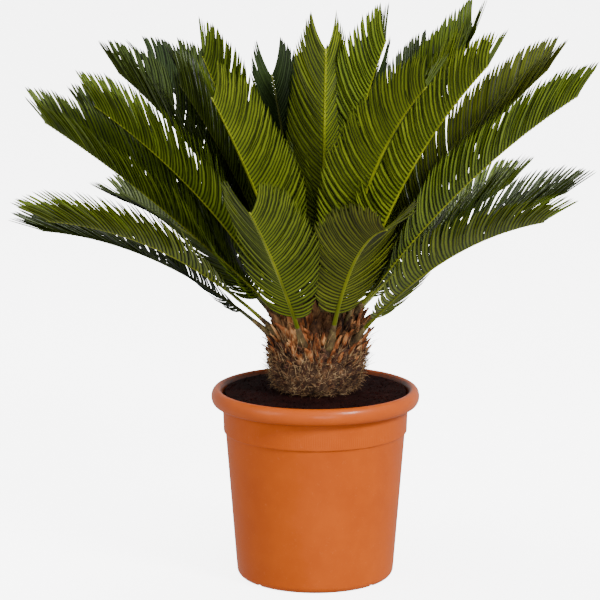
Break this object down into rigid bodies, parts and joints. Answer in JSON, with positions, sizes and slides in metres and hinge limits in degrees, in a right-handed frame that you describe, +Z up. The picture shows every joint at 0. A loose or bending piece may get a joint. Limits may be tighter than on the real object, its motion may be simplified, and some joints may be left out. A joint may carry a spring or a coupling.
{
  "type": "sago palm in a plant pot",
  "caption": "Sago palm with a squat scaly trunk and an arching crown of stiff feather fronds, in a tapered round plastic pot with a rolled rim, filled with soil",
  "frame": {"origin": "middle of the pot's flat underside, at ground level", "axes": "+Z up; the side seen in the picture faces -Y; +X is the viewer's right"},
  "size_m": [0.8519, 0.8183, 0.844],
  "materials": {
    "pot": "satin",
    "soil": "matte",
    "trunk": "matte",
    "frond": "satin"
  },
  "bodies": {
    "root": {"pot": "pot", "soil": "soil", "trunk": "trunk", "frond_01": "frond", "frond_02": "frond", "frond_03": "frond", "frond_04": "frond", "frond_05": "frond", "frond_06": "frond", "frond_07": "frond", "frond_08": "frond", "frond_09": "frond", "frond_10": "frond", "frond_11": "frond", "frond_12": "frond", "frond_13": "frond", "frond_14": "frond", "frond_15": "frond", "frond_16": "frond", "frond_17": "frond", "frond_18": "frond", "frond_19": "frond", "frond_20": "frond", "frond_21": "frond", "frond_22": "frond", "frond_23": "frond", "frond_24": "frond", "frond_25": "frond", "frond_26": "frond", "frond_27": "frond", "frond_28": "frond", "frond_29": "frond", "frond_30": "frond", "frond_31": "frond", "frond_32": "frond", "frond_33": "frond", "frond_34": "frond", "frond_35": "frond", "frond_36": "frond", "frond_37": "frond"}
  },
  "joints": []
}
